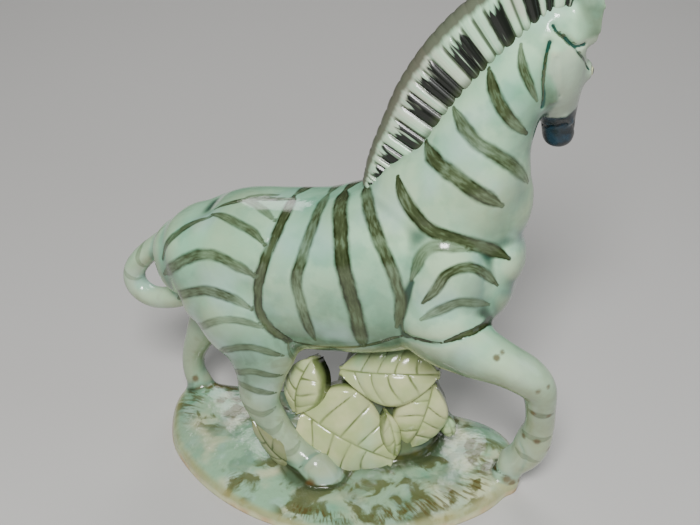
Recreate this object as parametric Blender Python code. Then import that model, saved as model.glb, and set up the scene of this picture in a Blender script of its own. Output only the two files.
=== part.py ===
"""Glazed pottery zebra on a mounded oval base, cast in one piece with the leafy
stump that carries its belly. +X is the way the zebra strides, +Y its left side,
+Z up. The origin is the centre of the flat underside."""

import math

import bmesh
import bpy
import numpy as np
from mathutils import Matrix, Vector

# Driving sizes, in metres
FIGURE_HEIGHT = 0.277  # table to the tips of the ears
BASE_LENGTH = 0.197
BASE_WIDTH = 0.112
BASE_RIM = 0.005  # height of the edge that stands on the table
BASE_CROWN = 0.011  # height of the mound in the middle
MANE_THICKNESS = 0.0125
LOCK_COUNT = 15  # locks of hair along the mane
LOCK_DEPTH = 0.0016
TAIL_THICKNESS = 0.0122
EAR_LENGTH = 0.034
EAR_WIDTH = 0.017
EAR_WALL = 0.0032
LEAF_THICKNESS = 0.0065
LEAF_FOLD = 0.0022  # how far a leaf is creased along its midrib
LEAF_VEIN = 0.0009  # depth of the hollows between the side veins
LEAF_VEINED = 0.025  # leaves wider than this have the full set of side veins

# The figure's own shape is kept in model units, which are millimetres at the
# height drawn here, so that its pose and proportions follow FIGURE_HEIGHT.
DRAWN_HEIGHT = 277.0
UNIT = FIGURE_HEIGHT / DRAWN_HEIGHT

VOXEL = 1.9 * UNIT
FIGURE_TRIANGLES = 4500
FILLET_PASSES = 24

# Stations of each tube: x, y, z of the centre, half width across, half depth.
TORSO = [
    (-81, -5, 109, 17, 20),
    (-72, -5, 110.5, 24.5, 27.5),
    (-60, -4, 109, 29.5, 33),
    (-43, -2, 110.5, 32, 37.5),
    (-22, -1, 111.5, 33.5, 39),
    (0, 0, 114.3, 34.5, 39.5),
    (18, 0, 119, 35, 41),
    (36, 1, 125, 34, 41.5),
    (52, 2, 129, 31, 40),
    (65, 3, 134, 26, 34),
    (74.5, 4, 142, 19.5, 23),
]
NECK = [
    (44, 2, 141, 27, 35),
    (56, 3, 159, 26.5, 34.5),
    (65, 3, 176, 23, 28.5),
    (69.5, 4, 193, 18.5, 23),
    (75, 5, 207, 15.5, 19.5),
    (81.5, 7, 219, 14, 17),
    (88, 10, 230, 13, 15.5),
    (94, 13, 241, 12, 13.5),
]
NEAR_HAUNCH = [
    (-52, -12, 116, 16, 24),
    (-45, -17, 106, 18.5, 29),
    (-38, -21, 91, 17, 27.5),
    (-31, -24, 76, 12.5, 21.5),
    (-30, -26, 62, 9.3, 14),
    (-30, -28, 47.5, 8.4, 10.6),
    (-24, -28, 35, 7.6, 8.6),
    (-14.5, -29, 23, 7.4, 8),
    (-6, -30, 16.5, 7.4, 8),
    (0, -31, 13, 8, 8.2),
]
FAR_HAUNCH = [
    (-56, 8, 116, 16, 26),
    (-61, 12, 97, 15, 23),
    (-70, 14, 78, 11, 16),
    (-79, 16, 60, 8.8, 12),
    (-86, 16, 45, 7.8, 8.6),
    (-91.4, 17, 32, 6.8, 6.8),
    (-92.2, 17, 20, 6.4, 6.6),
    (-88.5, 17, 11, 7, 7.6),
]
NEAR_FORELEG = [
    (50, -14, 124, 17, 28),
    (62, -20, 107.5, 16, 21.5),
    (76.5, -21, 98, 12.5, 15),
    (91.5, -20, 92.3, 10.5, 11),
    (102, -17, 86, 9.8, 10),
    (108, -13, 77, 8.4, 8.8),
    (109.2, -8, 62, 7.4, 7.7),
    (108.6, -3, 48, 7.4, 7.8),
    (106.3, 0, 37, 8.2, 9.3),
    (103.5, 2, 27, 8, 9),
    (98.5, 4, 19, 7.8, 8.4),
    (94.5, 4, 16, 7.2, 7.6),
]
FAR_FORELEG = [
    (52, 20, 110, 15, 22),
    (48, 25, 88, 11.5, 14),
    (43, 28, 70, 9, 9.5),
    (41.5, 30, 54, 7, 7),
    (42, 31, 38, 6, 6),
    (43.5, 32, 25, 6.4, 6.4),
    (46.5, 33, 15, 6.8, 7),
]
TAIL = [
    (-62, -5, 129),
    (-74, -5, 125),
    (-88, -4, 117),
    (-101, -3, 106.5),
    (-109.5, -3, 97),
    (-112.5, -3, 89),
    (-110, -3, 82),
    (-101, -4, 79),
    (-88, -5, 82),
    (-76, -6, 88),
]
# The head's stations run down its own axis from the poll: distance, half width,
# reach to the forehead side, reach to the jaw side.
HEAD_START = (96, 14, 243)
HEAD_END = (99, 31, 186)
HEAD_YAW = math.radians(80)  # the way the face looks, round from +X to +Y
HEAD = [
    (-7, 8, 6, 8),
    (2, 12, 10, 13),
    (12, 13.4, 11, 17),
    (22, 13, 11, 18),
    (32, 11, 10.2, 14.5),
    (42, 8.8, 8.4, 10.5),
    (50, 7.8, 7.2, 8.6),
    (56, 7.8, 7.0, 8.4),
]
# Places on the head: down its line, out to each side, towards the forehead.
EYE = (23, 10.4, 5.2)
EYE_RADII = (4.6, 4.6, 5.4)
EAR_ROOT = (5, 9, 1.5)
EAR_SPLAY = 0.16  # how far the ears lean apart
# Share of an ear's length, and share of its full width there.
EAR_OUTLINE = ((0.0, 0.9), (0.16, 1.0), (0.38, 1.0), (0.62, 0.92), (0.82, 0.6), (0.97, 0.2))
# Muscles that the tubes alone would leave flat: centre, radii.
MUSCLES = [
    ((-52, -16, 111), (29, 17, 31)),
    ((-54, 9, 111), (27, 17, 31)),
    ((58, -13, 128), (24, 20, 33)),
    ((58, 17, 128), (24, 19, 33)),
    ((76, 5, 164), (18.5, 18, 26)),
]
# Outer edge of the mane from the withers to the forelock, and its root inside
# the neck: x, y, z of the edge, then x, y, z of the root.
MANE = [
    (15, 0, 165, 30, 1, 158),
    (18, 0, 180, 38, 1, 170),
    (24, 1, 198, 48, 2, 185),
    (31, 2, 216, 58, 3, 200),
    (43, 3, 236, 68, 5, 214),
    (58, 5, 253, 78, 8, 226),
    (76, 8, 267, 88, 11, 238),
    (95, 14, 271, 95, 15, 247),
    (104, 22, 264, 99, 19, 246),
    (106, 27, 252, 101, 21, 240),
]
# Leaves that show on the near side, then the plainer ones behind. Stem end,
# tip, outward direction, full width, share of the length where it is widest.
LEAVES = [
    ((-14, -20, 36), (-7, -14, 68), (-0.35, -1.0, 0.2), 24, 0.5),
    ((-10, -21, 38), (38, -15, 15), (-0.05, -1.0, 0.4), 52, 0.35),
    ((7, -11, 62), (57, -3, 66), (0.15, -1.0, 0.5), 35, 0.52),
    ((54, -2, 58), (43, -7, 20), (0.5, -1.0, 0.15), 29, 0.5),
    ((33, -13, 44), (38, -13, 16), (0.8, -1.0, 0.2), 11, 0.5),
    ((59, 5, 36), (61, 8, 20), (0.9, -1.0, 0.3), 9, 0.5),
    ((38, 32, 62), (2, 29, 48), (-0.1, 1.0, 0.3), 32, 0.4),
    ((36, 29, 40), (4, 32, 14), (0.0, 1.0, 0.35), 34, 0.4),
    ((-7, -31, 9), (-33, -32, 36), (-0.4, -1.0, 0.3), 17, 0.45),
]
STUMP = [
    (26, 8, 2, 28, 24),
    (25, 8, 20, 27, 23),
    (24, 8, 42, 25, 19),
    (25, 7, 60, 20, 14),
    (26, 6, 84, 18, 12),
]
# Swells and hollows of the ground: x, y, radius, height.
SWELLS = [
    (-86, 16, 20, 3.5),
    (86, 28, 24, 5.8),
    (58, -18, 26, 3.0),
    (-30, -22, 22, 2.5),
    (4, -50, 30, -1.5),
    (-40, -45, 24, 1.5),
]
HOOVES = {
    "near_hind": ((0, -31, 15.5), (7, -32, 0), 10.2, 12.2),
    "far_hind": ((-90, 17, 13), (-88, 17, 0), 7, 9),
    "near_fore": ((96, 4, 17), (91.5, 2, 0), 7.4, 8.2),
    "far_fore": ((47, 33, 14), (50, 33, 0), 8.2, 9.6),
}
# The base's outline in plan, right round from the end behind the tail.
BASE_OUTLINE = [
    (-100, 12), (-94, -10), (-79, -33), (-48, -55), (-12, -66), (28, -65), (62, -48), (88, -22),
    (97, 4), (93, 29), (74, 43), (38, 46), (0, 42), (-40, 35), (-74, 28), (-93, 23),
]
FIGURE_SHIFT = (1.5, 10.0, 0)  # brings the base's middle to the origin


def clear_scene():
    for old in list(bpy.data.objects):
        bpy.data.objects.remove(old)


def metres(point):
    return (Vector(point) + Vector(FIGURE_SHIFT)) * UNIT


def smooth_rows(rows, steps):
    """Catmull-Rom values between the given rows, with the end rows kept."""
    rows = np.array(rows, float)
    padded = np.vstack([2 * rows[0] - rows[1], rows, 2 * rows[-1] - rows[-2]])
    made = []
    for i in range(1, len(padded) - 2):
        a, b, c, d = padded[i - 1 : i + 3]
        for step in range(steps):
            t = step / steps
            made.append(
                0.5 * (2 * b + (c - a) * t + (2 * a - 5 * b + 4 * c - d) * t**2
                       + (3 * b - a - 3 * c + d) * t**3)
            )
    made.append(rows[-1])
    return np.array(made)


def with_round_ends(centres, halves):
    """Adds a short dome of shrinking stations at both ends of a tube."""
    dome = (0.45, 0.8, 0.97)
    out_centres, out_halves = list(centres), list(halves)
    for end, nxt, front in ((0, 1, True), (-1, -2, False)):
        way = Vector(centres[end]) - Vector(centres[nxt])
        way.normalize()
        reach = min(halves[end]) * 0.8
        extra = [
            (Vector(centres[end]) + way * reach * s, np.array(halves[end]) * math.sqrt(1 - s * s))
            for s in dome
        ]
        if front:
            out_centres = [e[0] for e in reversed(extra)] + out_centres
            out_halves = [e[1] for e in reversed(extra)] + out_halves
        else:
            out_centres += [e[0] for e in extra]
            out_halves += [e[1] for e in extra]
    return [Vector(c) for c in out_centres], [tuple(h) for h in out_halves]


def add_tube(bm, centres, halves, sides=20, across=Vector((0, 1, 0)), ends="round", fullness=2.0):
    """Bridges oval rings that stand square to the line through the centres.
    A fullness over 2 squares the ovals off."""
    if ends == "round":
        centres, halves = with_round_ends(centres, halves)
    centres = [Vector(c) for c in centres]
    before = None
    first = None
    for i, (centre, (half_across, half_deep)) in enumerate(zip(centres, halves)):
        way = centres[min(i + 1, len(centres) - 1)] - centres[max(i - 1, 0)]
        way.normalize()
        side = (across - way * across.dot(way)).normalized()
        deep = way.cross(side)
        turn = Matrix((side * half_across, deep * half_deep, way)).transposed().to_4x4()
        ring = bmesh.ops.create_circle(bm, segments=sides, radius=1)["verts"]
        for vert in ring:
            round_point = [math.copysign(abs(c) ** (2 / fullness), c) for c in vert.co]
            vert.co = Matrix.Translation(centre) @ turn @ Vector(round_point)
        edges = list({e for v in ring for e in v.link_edges if e.other_vert(v) in ring})
        if before:
            bmesh.ops.bridge_loops(bm, edges=before + edges)
        else:
            first = ring
        before = edges
        last = ring
    bmesh.ops.contextual_create(bm, geom=first)
    bmesh.ops.contextual_create(bm, geom=last)


def finish_mesh(bm, name):
    bmesh.ops.recalc_face_normals(bm, faces=bm.faces)
    if name != "figure" and bm.calc_volume(signed=True) < 0:
        bmesh.ops.reverse_faces(bm, faces=bm.faces)
    mesh = bpy.data.meshes.new(name)
    bm.to_mesh(mesh)
    bm.free()
    made = bpy.data.objects.new(name, mesh)
    bpy.context.scene.collection.objects.link(made)
    return made


def helper(made):
    """Hides an object that only lends its shape to the solid."""
    made.hide_render = True
    made.display_type = "WIRE"
    return made


def limb(bm, stations, steps=3, sides=20, fullness=2.0):
    rows = smooth_rows(stations, steps)
    add_tube(bm, [metres(r) for r in rows[:, :3]], rows[:, 3:5] * UNIT, sides, fullness=fullness)


def head_frame():
    """The poll, the line down the face, its right side and its forehead side."""
    start, end = metres(HEAD_START), metres(HEAD_END)
    down = (end - start).normalized()
    face = Vector((math.cos(HEAD_YAW), math.sin(HEAD_YAW), 0))
    right = face.cross(Vector((0, 0, 1)))
    right = (right - down * right.dot(down)).normalized()
    forehead = right.cross(down)
    if forehead.dot(face) < 0:
        forehead.negate()
    return start, down, right, forehead


def head_place(place, side):
    start, down, right, forehead = head_frame()
    return start + (down * place[0] + right * side * place[1] + forehead * place[2]) * UNIT


def add_ball(bm, centre, radii, subdivisions):
    matrix = Matrix.Translation(centre) @ Matrix.Diagonal((*(radius * UNIT for radius in radii), 1))
    bmesh.ops.create_icosphere(bm, subdivisions=subdivisions, radius=1, matrix=matrix)


def add_head(bm):
    start, down, right, forehead = head_frame()
    rows = smooth_rows(HEAD, 3) * UNIT
    centres = [start + down * s + forehead * (f - j) / 2 for s, w, f, j in rows]
    halves = [(w, (f + j) / 2) for s, w, f, j in rows]
    add_tube(bm, centres, halves, 20, right)
    for side in (1, -1):
        add_ball(bm, head_place(EYE, side), EYE_RADII, 3)


def add_ear(bm, side):
    """A cupped ear, open to the front and outwards, its back towards the neck."""
    start, down, right, forehead = head_frame()
    root = head_place(EAR_ROOT, side)
    up = (-down + right * side * EAR_SPLAY + forehead * 0.10).normalized()
    width = (forehead * 0.30 * -side + right * 0.95).normalized()
    rows = []
    for share, wide in EAR_OUTLINE:
        thick = EAR_WALL * (1.25 - 0.5 * share)
        rows.append((*(root + up * EAR_LENGTH * share), EAR_WIDTH / 2 * wide, thick))
    rows = smooth_rows(rows, 2)
    add_tube(bm, rows[:, :3], rows[:, 3:5], 16, width)


def add_hooves(bm):
    for top, bottom, across, along in HOOVES.values():
        top, bottom = Vector(top), Vector(bottom)
        rows = [
            (*top, across * 0.80, along * 0.74),
            (*top.lerp(bottom, 0.35), across * 0.94, along * 0.9),
            (*top.lerp(bottom, 0.8), across, along),
            (*bottom, across, along),
        ]
        rows = np.array(rows)
        add_tube(bm, [metres(r) for r in rows[:, :3]], rows[:, 3:5] * UNIT, 20)


def fill_creases(mesh, passes):
    """Raises hollow points towards their neighbours, as thick glaze fills a
    crease, and leaves swelling points alone."""
    count = len(mesh.vertices)
    points = np.empty(count * 3)
    mesh.vertices.foreach_get("co", points)
    points = points.reshape(-1, 3)
    ends = np.empty(len(mesh.edges) * 2, np.int64)
    mesh.edges.foreach_get("vertices", ends)
    ends = ends.reshape(-1, 2)
    degree = np.bincount(ends.ravel(), minlength=count)[:, None]
    normals = np.empty(count * 3)
    for turn in range(passes):
        mean = np.zeros_like(points)
        np.add.at(mean, ends[:, 0], points[ends[:, 1]])
        np.add.at(mean, ends[:, 1], points[ends[:, 0]])
        pull = mean / degree - points
        if turn % 4 == 0:
            mesh.vertices.foreach_set("co", points.ravel())
            mesh.update()
            mesh.vertex_normals.foreach_get("vector", normals)
        hollow = (pull * normals.reshape(-1, 3)).sum(1)[:, None] > 0
        points = points + pull * np.where(hollow, 0.5, 0.12)
    mesh.vertices.foreach_set("co", points.ravel())
    mesh.update()


def make_figure():
    """Torso, neck, head, legs and tail, run together as in the mould."""
    bm = bmesh.new()
    limb(bm, TORSO, sides=28, fullness=2.6)
    limb(bm, NECK, sides=24)
    for leg in (NEAR_HAUNCH, FAR_HAUNCH, NEAR_FORELEG, FAR_FORELEG):
        limb(bm, leg)
    for centre, radii in MUSCLES:
        add_ball(bm, metres(centre), radii, 4)
    add_hooves(bm)
    add_head(bm)
    for side in (1, -1):
        add_ear(bm, side)
    tail = smooth_rows(TAIL, 4)
    add_tube(bm, [metres(r) for r in tail], [(TAIL_THICKNESS / 2,) * 2] * len(tail), 16)
    figure = finish_mesh(bm, "figure")
    remesh = figure.modifiers.new("run_together", "REMESH")
    remesh.mode = "VOXEL"
    remesh.voxel_size = VOXEL
    graph = bpy.context.evaluated_depsgraph_get()
    mesh = bpy.data.meshes.new_from_object(figure.evaluated_get(graph))
    figure.modifiers.clear()
    fill_creases(mesh, FILLET_PASSES)
    figure.data = mesh
    thin = figure.modifiers.new("fewer_faces", "DECIMATE")
    thin.ratio = FIGURE_TRIANGLES / (2 * len(mesh.polygons))
    return helper(figure)


def make_mane():
    """An upright fin of hair, ribbed lock by lock."""
    steps = 6
    rows = smooth_rows(MANE, steps)
    edge, root = rows[:, :3], rows[:, 3:6]
    travel = np.concatenate([[0], np.cumsum(np.linalg.norm(np.diff(edge, axis=0), axis=1))])
    rings_each = 4
    count = LOCK_COUNT * rings_each + 1
    bm = bmesh.new()
    before = None
    for i in range(count):
        at = travel[-1] * i / (count - 1)
        outer = metres([np.interp(at, travel, edge[:, k]) for k in range(3)])
        inner = metres([np.interp(at, travel, root[:, k]) for k in range(3)])
        swell = LOCK_DEPTH * (math.sin(math.pi * i / rings_each) ** 2 - 0.5)
        half = MANE_THICKNESS / 2 + swell
        way = (outer - inner).normalized()
        ahead = Vector([np.interp(at + 1, travel, edge[:, k]) for k in range(3)])
        behind = Vector([np.interp(at - 1, travel, edge[:, k]) for k in range(3)])
        side = (ahead - behind).cross(way).normalized()
        outer += way * swell * 0.6
        ring = []
        profile = ((0, 1.15), (0.55, 1.0), (0.88, 0.8), (0.98, 0.45))
        for share, wide in profile:
            ring.append(inner.lerp(outer, share) + side * half * wide)
        for share, wide in reversed(profile):
            ring.append(inner.lerp(outer, share) - side * half * wide)
        verts = [bm.verts.new(p) for p in ring]
        edges = [bm.edges.new((verts[k], verts[(k + 1) % len(verts)])) for k in range(len(verts))]
        if before:
            bmesh.ops.bridge_loops(bm, edges=before + edges)
        else:
            first = verts
        before = edges
    bmesh.ops.contextual_create(bm, geom=first)
    bmesh.ops.contextual_create(bm, geom=verts)
    return helper(finish_mesh(bm, "mane"))


def make_leaf(name, stem, tip, out, width, widest):
    """An oval pointed leaf, creased along its midrib and bowed outwards."""
    stem, tip, out = metres(stem), metres(tip), Vector(out).normalized()
    along = (tip - stem).normalized()
    out = (out - along * out.dot(along)).normalized()
    across = along.cross(out)
    length, width = (tip - stem).length, width * UNIT
    bm = bmesh.new()
    rows = 10 if width > LEAF_VEINED else 6
    bmesh.ops.create_grid(bm, x_segments=rows, y_segments=6, size=0.5)
    for vert in bm.verts:
        row, v = round((vert.co.x + 0.5) * rows), vert.co.y * 2
        u = row / rows
        u += 0.1 * abs(v) * math.sin(math.pi * u)  # rows slant to the tip as veins do
        half = width / 2 * abs(math.sin(math.pi * u ** (math.log(0.5) / math.log(widest)))) ** 0.75
        half = max(half, width * 0.07)
        bow = LEAF_THICKNESS * 0.9 * math.sin(math.pi * u) * (1 - v * v)
        fold = LEAF_FOLD * abs(v) * (1 - u * 0.5)
        vein = LEAF_VEIN * (row % 2) * math.sin(math.pi * min(1, abs(v) * 1.2))
        vert.co = stem + along * length * u + across * half * v + out * (bow + fold - vein)
    back = bmesh.ops.extrude_face_region(bm, geom=bm.faces[:], use_keep_orig=True)["geom"]
    verts = [v for v in back if isinstance(v, bmesh.types.BMVert)]
    bmesh.ops.translate(bm, verts=verts, vec=-out * LEAF_THICKNESS)
    return helper(finish_mesh(bm, name))


def make_stump():
    bm = bmesh.new()
    rows = smooth_rows(STUMP, 2)
    add_tube(bm, [metres(r) for r in rows[:, :3]], rows[:, 4:2:-1] * UNIT, 20, ends="flat")
    return helper(finish_mesh(bm, "stump"))


def ground_swell(place):
    x, y = place / UNIT - FIGURE_SHIFT[:2]
    return sum(
        height * math.exp(-((x - a) ** 2 + (y - b) ** 2) / radius**2)
        for a, b, radius, height in SWELLS
    )


def closed_outline(points, steps):
    """Smooth closed line through the points."""
    around = points[-2:] + points + points[:2]
    return smooth_rows(around, steps)[2 * steps : (len(points) + 2) * steps]


def make_base():
    """An uneven oval with an upright rim and a gently rolling mound."""
    outline = closed_outline(BASE_OUTLINE, 3)
    low, high = outline.min(0), outline.max(0)
    outline = (outline - (low + high) / 2) / (high - low) * (BASE_LENGTH, BASE_WIDTH)
    bm = bmesh.new()
    before = None
    below = -2 * BASE_RIM
    rings = [(1.0, below), (1.0, BASE_RIM * 0.6), (0.985, BASE_RIM)]
    rings += [(math.cos(a * math.pi / 18), None) for a in range(2, 9)]
    for share, height in rings:
        ring = bmesh.ops.create_circle(bm, segments=len(outline), radius=1)["verts"]
        for vert, edge in zip(ring, outline * share):
            z = height
            if height is None:
                z = BASE_RIM + (BASE_CROWN - BASE_RIM) * math.sqrt(1 - share**2)
                z += ground_swell(edge) * UNIT * min(1, (1 - share) * 6)
            vert.co = (*edge, z)
        edges = list({e for v in ring for e in v.link_edges if e.other_vert(v) in ring})
        if before:
            bmesh.ops.bridge_loops(bm, edges=before + edges)
        else:
            bmesh.ops.contextual_create(bm, geom=ring)
        before = edges
    bmesh.ops.contextual_create(bm, geom=ring)
    return finish_mesh(bm, "zebra_figurine")


def glaze_material():
    material = bpy.data.materials.new("green_glaze")
    material.use_nodes = True
    shader = material.node_tree.nodes["Principled BSDF"]
    shader.inputs["Base Color"].default_value = (0.42, 0.60, 0.47, 1)
    shader.inputs["Roughness"].default_value = 0.14
    shader.inputs["Metallic"].default_value = 0.0
    return material


def join(body, others):
    for other in others:
        cut = body.modifiers.new(other.name, "BOOLEAN")
        cut.operation = "UNION"
        cut.solver = "EXACT"
        cut.object = other


def cut_flat(body):
    """Cuts away all that reaches below the table."""
    size = 2 * (FIGURE_HEIGHT + BASE_WIDTH)
    bm = bmesh.new()
    bmesh.ops.create_cube(bm, size=size, matrix=Matrix.Translation((0, 0, -size / 2)))
    table = helper(finish_mesh(bm, "table_cutter"))
    cut = body.modifiers.new("flat_underside", "BOOLEAN")
    cut.operation = "DIFFERENCE"
    cut.solver = "EXACT"
    cut.object = table


def main():
    clear_scene()
    body = make_base()
    body.data.materials.append(glaze_material())
    pieces = [make_figure(), make_stump(), make_mane()]
    pieces += [make_leaf(f"leaf_{i + 1}", *leaf) for i, leaf in enumerate(LEAVES)]
    join(body, pieces)
    cut_flat(body)


main()
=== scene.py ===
import math

import bmesh
import bpy
import numpy as np
from mathutils import Matrix, Vector
from mathutils.bvhtree import BVHTree


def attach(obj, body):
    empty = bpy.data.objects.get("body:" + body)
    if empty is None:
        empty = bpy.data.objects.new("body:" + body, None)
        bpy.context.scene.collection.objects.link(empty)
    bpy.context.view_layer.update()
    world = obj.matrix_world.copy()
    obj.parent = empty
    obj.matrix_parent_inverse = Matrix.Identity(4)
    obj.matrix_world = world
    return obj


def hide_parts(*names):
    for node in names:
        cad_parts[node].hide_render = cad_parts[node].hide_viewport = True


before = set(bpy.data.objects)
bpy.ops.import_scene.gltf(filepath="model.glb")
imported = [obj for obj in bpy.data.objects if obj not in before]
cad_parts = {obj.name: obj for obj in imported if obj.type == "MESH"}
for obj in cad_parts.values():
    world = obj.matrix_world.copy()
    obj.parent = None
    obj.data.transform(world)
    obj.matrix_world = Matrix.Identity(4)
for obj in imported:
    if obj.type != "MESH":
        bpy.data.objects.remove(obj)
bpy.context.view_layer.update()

# Lengths below are millimetres from the zebra's own middle line.
mm = 0.001
baseMiddle = Vector((1.5, 10.0, 0.0))  # added so that the base's middle is the origin


def spot(point):
    return (Vector(point) + baseMiddle) * mm


def smoothRows(rows, steps):
    # Catmull-Rom through the rows
    rows = np.array(rows, float)
    padded = np.vstack([2 * rows[0] - rows[1], rows, 2 * rows[-1] - rows[-2]])
    made = []
    for i in range(1, len(padded) - 2):
        a, b, c, d = padded[i - 1 : i + 3]
        for step in range(steps):
            t = step / steps
            made.append(0.5 * (2 * b + (c - a) * t + (2 * a - 5 * b + 4 * c - d) * t**2
                               + (3 * b - a - 3 * c + d) * t**3))
    made.append(rows[-1])
    return np.array(made)


def domedEnds(centres, halves):
    dome = (0.3, 0.55, 0.75, 0.9, 0.98)
    centres, halves = [Vector(c) for c in centres], [np.array(h) for h in halves]
    reachStart = (centres[0] - centres[1]).normalized() * min(halves[0]) * 0.8
    reachEnd = (centres[-1] - centres[-2]).normalized() * min(halves[-1]) * 0.8
    start = [(centres[0] + reachStart * s, halves[0] * math.sqrt(1 - s * s)) for s in reversed(dome)]
    end = [(centres[-1] + reachEnd * s, halves[-1] * math.sqrt(1 - s * s)) for s in dome]
    return (
        [c for c, h in start] + centres + [c for c, h in end],
        [h for c, h in start] + halves + [h for c, h in end],
    )


def joinRing(bm, ring, before):
    # skins over from the ring before, or caps the first one
    members = set(ring)
    edges = list({e for v in ring for e in v.link_edges if e.other_vert(v) in members})
    if before:
        bmesh.ops.bridge_loops(bm, edges=before + edges)
    else:
        bmesh.ops.contextual_create(bm, geom=ring)
    return edges


def sweepTube(bm, centres, halves, sides=32, across=Vector((0, 1, 0)), fullness=2.0, bend=0):
    centres, halves = domedEnds(centres, halves)
    before = None
    for i, (centre, (wide, deep)) in enumerate(zip(centres, halves)):
        way = (centres[min(i + 1, len(centres) - 1)] - centres[max(i - 1, 0)]).normalized()
        side = (across - way * across.dot(way)).normalized()
        turn = Matrix((side * wide, way.cross(side) * deep, way)).transposed()
        ring = bmesh.ops.create_circle(bm, segments=sides, radius=1)["verts"]
        for vert in ring:
            x, y, z = [math.copysign(abs(c) ** (2 / fullness), c) for c in vert.co]
            vert.co = centre + turn @ Vector((x, y + bend * x * x, z))
        before = joinRing(bm, ring, before)
    bmesh.ops.contextual_create(bm, geom=ring)


def limb(bm, stations, sides=32, fullness=2.0, steps=6):
    rows = smoothRows(stations, steps)
    sweepTube(bm, [spot(r) for r in rows[:, :3]], rows[:, 3:5] * mm, sides, fullness=fullness)


def toObject(bm, name):
    bmesh.ops.recalc_face_normals(bm, faces=bm.faces)
    mesh = bpy.data.meshes.new(name)
    bm.to_mesh(mesh)
    bm.free()
    made = bpy.data.objects.new(name, mesh)
    bpy.context.scene.collection.objects.link(made)
    return made


# zebra, stump and ground, cast as one
body = {
    "torso": [
        (-81, -5, 109, 17, 20), (-72, -5, 110.5, 24.5, 27.5), (-60, -4, 109, 29.5, 33),
        (-43, -2, 110.5, 32, 37.5), (-22, -1, 111.5, 33.5, 39), (0, 0, 114.3, 34.5, 39.5),
        (18, 0, 119, 35, 41), (36, 1, 125, 34, 41.5), (52, 2, 129, 31, 40), (65, 3, 134, 26, 34),
        (74.5, 4, 142, 19.5, 23),
    ],
    "neck": [
        (44, 2, 141, 27, 35), (56, 3, 159, 26.5, 34.5), (65, 3, 176, 23, 28.5), (69.5, 4, 193, 18.5, 23),
        (75, 5, 207, 15.5, 19.5), (81.5, 7, 219, 14, 17), (88, 10, 230, 13, 15.5), (94, 13, 241, 12, 13.5),
    ],
    "nearHindLeg": [
        (-52, -12, 116, 16, 24), (-45, -17, 106, 18.5, 29), (-38, -21, 91, 17, 27.5),
        (-31, -24, 76, 12.5, 21.5), (-30, -26, 62, 9.3, 14), (-30, -28, 47.5, 8.4, 10.6),
        (-24, -28, 35, 7.6, 8.6), (-14.5, -29, 23, 7.4, 8), (-6, -30, 16.5, 7.4, 8),
        (0, -31, 13, 8, 8.2),
    ],
    "farHindLeg": [
        (-56, 8, 116, 16, 26), (-61, 12, 97, 15, 23), (-70, 14, 78, 11, 16), (-79, 16, 60, 8.8, 12),
        (-86, 16, 45, 7.8, 8.6), (-91.4, 17, 32, 6.8, 6.8), (-92.2, 17, 20, 6.4, 6.6),
        (-88.5, 17, 11, 7, 7.6),
    ],
    "nearForeleg": [
        (50, -14, 124, 17, 28), (62, -20, 107.5, 16, 21.5), (76.5, -21, 98, 12.5, 15),
        (91.5, -20, 92.3, 10.5, 11), (102, -17, 86, 9.8, 10), (108, -13, 77, 8.4, 8.8),
        (109.2, -8, 62, 7.4, 7.7), (108.6, -3, 48, 7.4, 7.8),
        (106.3, 0, 37, 8.2, 9.3), (103.5, 2, 27, 8, 9), (98.5, 4, 19, 7.8, 8.4), (94.5, 4, 16, 7.2, 7.6),
    ],
    "farForeleg": [
        (52, 20, 110, 15, 22), (48, 25, 88, 11.5, 14), (43, 28, 70, 9, 9.5), (41.5, 30, 54, 7, 7),
        (42, 31, 38, 6, 6), (43.5, 32, 25, 6.4, 6.4), (46.5, 33, 15, 6.8, 7),
    ],
    "tail": [
        (-62, -5, 121), (-74, -5, 121), (-88, -4, 117), (-101, -3, 106.5), (-109.5, -3, 97),
        (-112.5, -3, 89), (-110, -3, 82), (-101, -4, 79), (-88, -5, 82), (-76, -6, 88),
    ],
    "tailThick": 12.2,
    # centre and radii of muscles that swell past the limbs
    "muscles": [
        ((-52, -16, 111), (29, 17, 31)), ((-54, 9, 111), (27, 17, 31)), ((58, -13, 128), (24, 20, 33)),
        ((58, 17, 128), (24, 19, 33)), ((76, 5, 164), (18.5, 18, 26)),
    ],
    # upper end, sole, half width, half length
    "hooves": [
        ((0, -31, 15.5), (7, -32, 0), 10.2, 12.2), ((-90, 17, 13), (-88, 17, 0), 7, 9),
        ((96, 4, 17), (91.5, 2, 0), 7.4, 8.2), ((47, 33, 14), (50, 33, 0), 8.2, 9.6),
    ],
    "stump": [
        (26, 8, 2, 28, 24), (25, 8, 20, 27, 23), (24, 8, 42, 25, 19), (25, 7, 60, 20, 14),
        (26, 6, 84, 18, 12),
    ],
    "voxel": 1.42,
    "glazeFill": 40,  # passes that fill the creases, as thick glaze does
}
head = {
    "poll": (96, 14, 243),
    "chin": (99, 31, 186),
    "yaw": 80,
    # along the face, half width, forehead side, jaw side
    "rows": [
        (-7, 8, 6, 8), (2, 12, 10, 13), (12, 13.4, 11, 17), (22, 13, 11, 18), (32, 11, 10.2, 14.5),
        (42, 8.8, 8.4, 10.5), (50, 7.8, 7.2, 8.6), (56, 7.8, 7.0, 8.4),
    ],
    # places on the head: down its line, out to each side, towards the forehead
    "eye": (23, 10.4, 5.2),
    "eyeRadii": (4.6, 4.6, 5.4),
    "earRoot": (5, 9, 1.5),
    "earLong": 34,
    "earWide": 17,
    "earWall": 2.7,
    "earCup": -1.3,  # how far the ear's edges curl forward, in walls
    "earOutline": ((0, 0.9), (0.16, 1), (0.38, 1), (0.62, 0.92), (0.82, 0.6), (0.97, 0.2)),
}
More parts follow.
